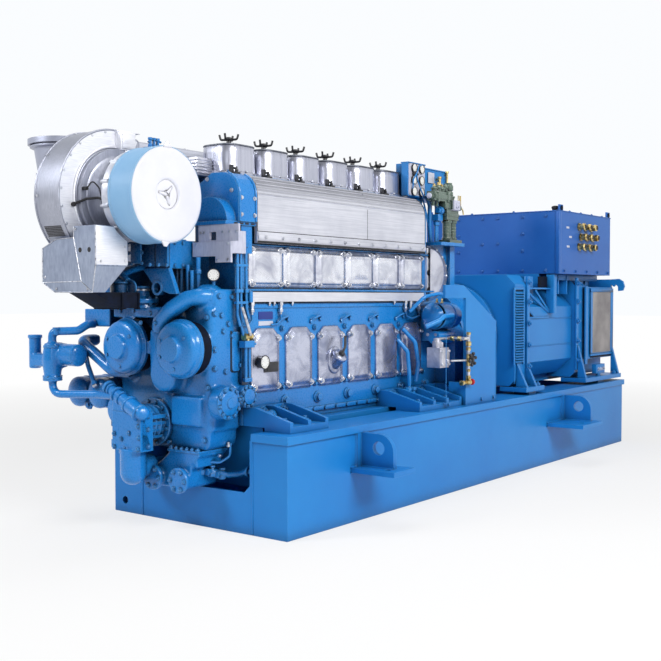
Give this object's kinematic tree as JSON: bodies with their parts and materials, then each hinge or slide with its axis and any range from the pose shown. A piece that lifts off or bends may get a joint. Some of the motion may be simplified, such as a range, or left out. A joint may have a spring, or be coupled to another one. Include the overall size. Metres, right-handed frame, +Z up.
{
  "type": "diesel generating set",
  "caption": "Long diesel generating set: an in-line engine with an end-mounted turbocharger drives an alternator, all on one welded base frame with foot brackets and lifting eyes.",
  "frame": {"origin": "middle of the base frame in plan, on its underside, where the middle cross beam rests on the floor", "axes": "+X along the machine towards the alternator end, the turbocharger and pumps are at the -X end; the side with the crankcase and camshaft covers faces -Y; +Z is up"},
  "size_m": [5.384, 1.896, 2.18],
  "materials": {
    "engine_paint": "gloss blue machine enamel",
    "dark_paint": "satin dark blue enamel",
    "silencer_paint": "satin pale blue enamel",
    "valve_paint": "satin grey-green enamel on valve bodies",
    "panel_sheet": "pale grey satin sheet cover",
    "plated_sheet": "plated sheet steel",
    "lagging_sheet": "matt heat-resistant grey sheet cladding",
    "cast_aluminium": "fettled silver casting",
    "valve_brass": "plain brass fittings",
    "black_plastic": "matt black moulded"
  },
  "bodies": {
    "root": {"frame_beams": "engine_paint", "cross_beams": "engine_paint", "drip_tray": "engine_paint", "top_plates": "engine_paint", "end_plates": "engine_paint", "mounting_brackets": "engine_paint", "oil_sump": "engine_paint", "engine_block": "engine_paint", "engine_feet": "engine_paint", "crankcase_covers": "cast_aluminium", "camshaft_covers": "cast_aluminium", "cover_rail": "panel_sheet", "hot_box_panel": "panel_sheet", "hot_box_end_caps": "engine_paint", "cylinder_heads": "engine_paint", "rocker_covers": "cast_aluminium", "cover_handles": "black_plastic", "exhaust_duct": "lagging_sheet", "turbine_insulation": "lagging_sheet", "turbo_centre_housing": "cast_aluminium", "air_silencer": "silencer_paint", "exhaust_outlet": "lagging_sheet", "heat_shield": "lagging_sheet", "air_cooler": "engine_paint", "pump_housing": "engine_paint", "water_pumps": "engine_paint", "thermostat_housing": "engine_paint", "water_manifold": "engine_paint", "oil_pump": "engine_paint", "twin_branch_pipe": "engine_paint", "oil_filter_module": "engine_paint", "mixing_valve": "engine_paint", "junction_plates": "plated_sheet", "gear_cover": "cast_aluminium", "starter_motor": "engine_paint", "drain_valves": "valve_brass", "instrument_panel": "engine_paint", "pneumatic_valves": "valve_paint", "flywheel_housing": "engine_paint", "coupling_housing": "engine_paint", "flywheel_guards": "engine_paint", "generator_stator": "engine_paint", "generator_end_frames": "engine_paint", "generator_rear_housing": "engine_paint", "generator_feet": "engine_paint", "terminal_box": "dark_paint", "cable_glands": "valve_brass"}
  },
  "joints": []
}
